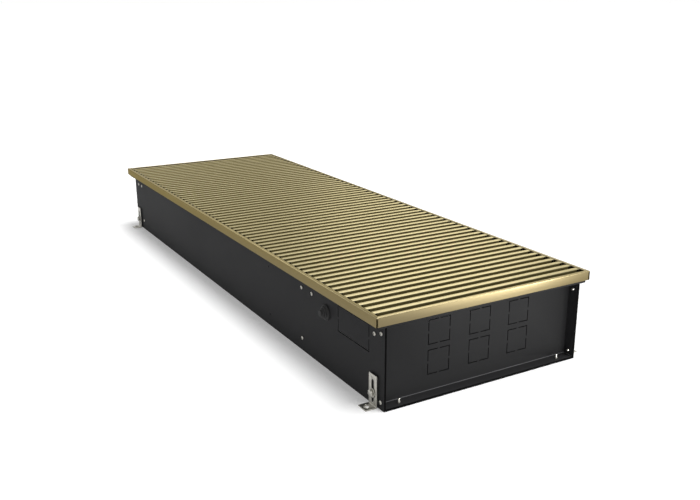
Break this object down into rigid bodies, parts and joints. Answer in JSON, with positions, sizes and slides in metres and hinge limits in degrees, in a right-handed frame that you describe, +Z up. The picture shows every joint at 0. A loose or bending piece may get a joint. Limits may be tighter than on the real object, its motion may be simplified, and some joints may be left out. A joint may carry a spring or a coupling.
{
  "type": "trench convector heater",
  "caption": "Floor-trench convector heater: black folded tray, brass-coloured frame, roll-up slat grille, finned exchanger, tangential fan and levelling brackets.",
  "frame": {"origin": "on the floor, in the middle of the casing", "axes": "+X along the trench towards the end plate with the pipe knockouts, +Z up, -Y towards the cable grommet"},
  "size_m": [1.2, 0.416, 0.15],
  "materials": {
    "black_coat": "satin black powder coat",
    "frame_anodised": "brushed brass-coloured anodising",
    "slat_anodised": "light brass-coloured anodising",
    "zinc": "bright zinc plating",
    "rubber": "matt black rubber",
    "copper": "drawn copper",
    "fin_aluminium": "thin rolled sheet",
    "fitting_brass": "turned brass",
    "shaft_steel": "ground steel",
    "black_plastic": "moulded black plastic",
    "grey_plastic": "moulded grey plastic",
    "galvanised": "galvanised sheet"
  },
  "bodies": {
    "casing": {"casing": "black_coat", "end_plate_near": "black_coat", "end_plate_far": "black_coat", "frame_side_left": "frame_anodised", "frame_side_right": "frame_anodised", "frame_end_near": "frame_anodised", "frame_end_far": "frame_anodised", "seal_strip_left": "rubber", "seal_strip_right": "rubber", "frame_key_far_left": "zinc", "level_bolt_far_left": "zinc", "level_pad_far_left": "rubber", "frame_key_far_right": "zinc", "level_bolt_far_right": "zinc", "level_pad_far_right": "rubber", "frame_key_near_left": "zinc", "level_bolt_near_left": "zinc", "level_pad_near_left": "rubber", "frame_key_near_right": "zinc", "level_bolt_near_right": "zinc", "level_pad_near_right": "rubber", "cable_grommet": "rubber", "partition": "galvanised", "cover_rail_left": "galvanised", "cover_rail_right": "galvanised", "compartment_cover": "black_coat", "terminal_box": "grey_plastic", "terminal_lid": "grey_plastic", "terminal_block": "black_plastic", "motor_lead": "black_plastic", "exchanger_fins": "fin_aluminium", "exchanger_tubes": "copper", "exchanger_bracket_far": "galvanised", "exchanger_bracket_near": "galvanised", "union_left": "fitting_brass", "union_right": "fitting_brass", "bleed_valve": "fitting_brass", "fan_motor": "galvanised", "motor_cradle": "galvanised", "fan_bearing_far": "galvanised", "fan_bearing_near": "galvanised", "fan_housing_far": "galvanised", "fan_housing_near": "galvanised"},
    "grille": {"grille_panel": "slat_anodised"},
    "roll_1": {"roll_slat_1": "slat_anodised"},
    "roll_2": {"roll_slat_2": "slat_anodised"},
    "roll_3": {"roll_slat_3": "slat_anodised"},
    "roll_4": {"roll_slat_4": "slat_anodised"},
    "roll_5": {"roll_slat_5": "slat_anodised"},
    "roll_6": {"roll_slat_6": "slat_anodised"},
    "roll_7": {"roll_slat_7": "slat_anodised"},
    "fan_rotor": {"fan_wheel_far": "black_plastic", "fan_wheel_near": "black_plastic", "fan_shaft": "shaft_steel"},
    "bleed_screw": {"bleed_screw": "fitting_brass"},
    "bracket_far_left": {"level_bracket_far_left": "zinc"},
    "bracket_far_right": {"level_bracket_far_right": "zinc"},
    "bracket_near_left": {"level_bracket_near_left": "zinc"},
    "bracket_near_right": {"level_bracket_near_right": "zinc"}
  },
  "joints": [
    {"name": "grille_lift", "type": "slide", "parent": "casing", "child": "grille", "axis": [0, 0, 1], "range_m": [0, 0.15]},
    {"name": "roll_hinge_1", "type": "hinge", "parent": "grille", "child": "roll_1", "pos_m": [0.45355, 0, 0.1425], "axis": [0, -1, 0], "range_deg": [0, 40]},
    {"name": "roll_hinge_2", "type": "hinge", "parent": "roll_1", "child": "roll_2", "pos_m": [0.47285, 0, 0.1425], "axis": [0, -1, 0], "range_deg": [0, 40]},
    {"name": "roll_hinge_3", "type": "hinge", "parent": "roll_2", "child": "roll_3", "pos_m": [0.49215, 0, 0.1425], "axis": [0, -1, 0], "range_deg": [0, 40]},
    {"name": "roll_hinge_4", "type": "hinge", "parent": "roll_3", "child": "roll_4", "pos_m": [0.51145, 0, 0.1425], "axis": [0, -1, 0], "range_deg": [0, 40]},
    {"name": "roll_hinge_5", "type": "hinge", "parent": "roll_4", "child": "roll_5", "pos_m": [0.53075, 0, 0.1425], "axis": [0, -1, 0], "range_deg": [0, 40]},
    {"name": "roll_hinge_6", "type": "hinge", "parent": "roll_5", "child": "roll_6", "pos_m": [0.55005, 0, 0.1425], "axis": [0, -1, 0], "range_deg": [0, 40]},
    {"name": "roll_hinge_7", "type": "hinge", "parent": "roll_6", "child": "roll_7", "pos_m": [0.56935, 0, 0.1425], "axis": [0, -1, 0], "range_deg": [0, 40]},
    {"name": "fan_spin", "type": "hinge", "parent": "casing", "child": "fan_rotor", "pos_m": [0, -0.095, 0.0368], "axis": [1, 0, 0], "continuous": true},
    {"name": "bleed_turn", "type": "hinge", "parent": "casing", "child": "bleed_screw", "pos_m": [0.313, 0.065, 0.096], "axis": [0, 0, 1], "range_deg": [0, 180]},
    {"name": "level_far_left", "type": "slide", "parent": "casing", "child": "bracket_far_left", "axis": [0, 0, 1], "range_m": [-0.017, 0.011]},
    {"name": "level_far_right", "type": "slide", "parent": "casing", "child": "bracket_far_right", "axis": [0, 0, 1], "range_m": [-0.017, 0.011]},
    {"name": "level_near_left", "type": "slide", "parent": "casing", "child": "bracket_near_left", "axis": [0, 0, 1], "range_m": [-0.017, 0.011]},
    {"name": "level_near_right", "type": "slide", "parent": "casing", "child": "bracket_near_right", "axis": [0, 0, 1], "range_m": [-0.017, 0.011]}
  ],
  "couplings": [
    {"joint": "roll_hinge_2", "follows": "roll_hinge_1", "ratio": 1},
    {"joint": "roll_hinge_3", "follows": "roll_hinge_1", "ratio": 1},
    {"joint": "roll_hinge_4", "follows": "roll_hinge_1", "ratio": 1},
    {"joint": "roll_hinge_5", "follows": "roll_hinge_1", "ratio": 1},
    {"joint": "roll_hinge_6", "follows": "roll_hinge_1", "ratio": 1},
    {"joint": "roll_hinge_7", "follows": "roll_hinge_1", "ratio": 1}
  ]
}
